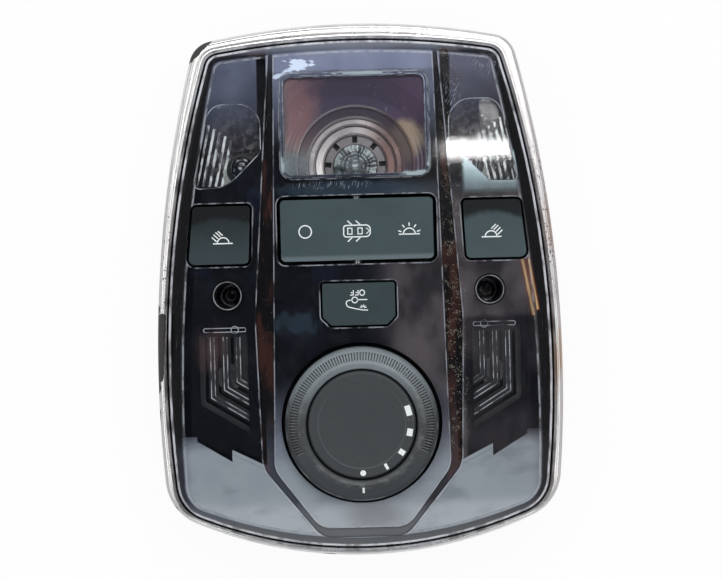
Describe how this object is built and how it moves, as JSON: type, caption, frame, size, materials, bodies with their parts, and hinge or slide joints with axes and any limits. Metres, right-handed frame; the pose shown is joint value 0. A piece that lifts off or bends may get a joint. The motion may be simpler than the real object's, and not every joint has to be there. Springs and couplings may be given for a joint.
{
  "type": "car interior light",
  "caption": "Roof console lamp of a car: smoked panel in a worn chrome trim with dome and reading lamps, sprung keys, a three-way rocker and a rotary dial.",
  "frame": {"origin": "on the back face, under the middle of the length and the width", "axes": "+Z out of the front face, +Y along the length towards the narrow end, +X to the right as seen from the front"},
  "size_m": [0.1448, 0.19, 0.0452],
  "materials": {
    "housing_plastic": "fine moulded texture",
    "trim_chrome": "worn plating, flaked to black at a corner and along one side",
    "smoked_panel": "glossy smoked panel with scratches and dust",
    "smoked_lens": "glossy smoked window",
    "carrier_plastic": "satin black",
    "reflector": "metallised",
    "bulb_glass": "clear glass",
    "holder_plastic": "satin black",
    "clear_lens": "clear, ribbed",
    "board": "solder mask",
    "switch_plastic": "satin",
    "connector_plastic": "satin",
    "contact_brass": "bright",
    "steel": "zinc plated",
    "key_plastic": "soft-touch satin with white symbols",
    "dial_plastic": "soft-touch satin, fluted grip, white marks"
  },
  "bodies": {
    "lamp_unit": {"rear_housing": "housing_plastic", "chrome_trim": "trim_chrome", "front_panel": "smoked_panel", "lamp_carrier": "carrier_plastic", "dome_lens": "smoked_lens", "dome_reflector": "reflector", "dome_bulb": "bulb_glass", "dome_bulb_holder": "holder_plastic", "reading_lens_left": "clear_lens", "reading_lens_right": "clear_lens", "reading_reflector_left": "reflector", "reading_reflector_right": "reflector", "reading_bulb_left": "bulb_glass", "reading_bulb_right": "bulb_glass", "reading_bulb_holder_left": "holder_plastic", "reading_bulb_holder_right": "holder_plastic", "louvre_left": "carrier_plastic", "louvre_right": "carrier_plastic", "microphone_left": "steel", "microphone_right": "steel", "circuit_board": "board", "map_switch_left": "switch_plastic", "map_switch_right": "switch_plastic", "rocker_switch": "switch_plastic", "monitor_switch": "switch_plastic", "rotary_switch": "switch_plastic", "connector_shell": "connector_plastic", "connector_pins": "contact_brass", "rocker_axle": "steel", "screw_left": "steel", "screw_right": "steel", "screw_collar_left": "steel", "screw_collar_right": "steel", "roof_clips": "steel"},
    "left_map_button": {"map_key_left": "key_plastic", "map_plunger_left": "switch_plastic"},
    "right_map_button": {"map_key_right": "key_plastic", "map_plunger_right": "switch_plastic"},
    "monitor_button": {"monitor_key": "key_plastic", "monitor_plunger": "switch_plastic"},
    "mode_switch": {"mode_rocker": "key_plastic"},
    "dial_knob": {"dial_ring": "dial_plastic"},
    "dial_centre": {"dial_cap": "dial_plastic"}
  },
  "joints": [
    {"name": "left_map_press", "type": "slide", "parent": "lamp_unit", "child": "left_map_button", "axis": [0, 0, -1], "range_m": [0, 0.0012], "stiffness_N_per_m": 2500, "springref_m": -0.0005},
    {"name": "right_map_press", "type": "slide", "parent": "lamp_unit", "child": "right_map_button", "axis": [0, 0, -1], "range_m": [0, 0.0012], "stiffness_N_per_m": 2500, "springref_m": -0.0005},
    {"name": "monitor_press", "type": "slide", "parent": "lamp_unit", "child": "monitor_button", "axis": [0, 0, -1], "range_m": [0, 0.001], "stiffness_N_per_m": 2500, "springref_m": -0.0005},
    {"name": "mode_tilt", "type": "hinge", "parent": "lamp_unit", "child": "mode_switch", "pos_m": [0, 0.02115, 0.03], "axis": [0, 1, 0], "range_deg": [-4, 4]},
    {"name": "dial_turn", "type": "hinge", "parent": "lamp_unit", "child": "dial_knob", "pos_m": [0, -0.0473, 0.035], "axis": [0, 0, 1], "range_deg": [0, 105]},
    {"name": "dial_press", "type": "slide", "parent": "lamp_unit", "child": "dial_centre", "axis": [0, 0, -1], "range_m": [0, 0.0012], "stiffness_N_per_m": 3000, "springref_m": -0.0005}
  ]
}
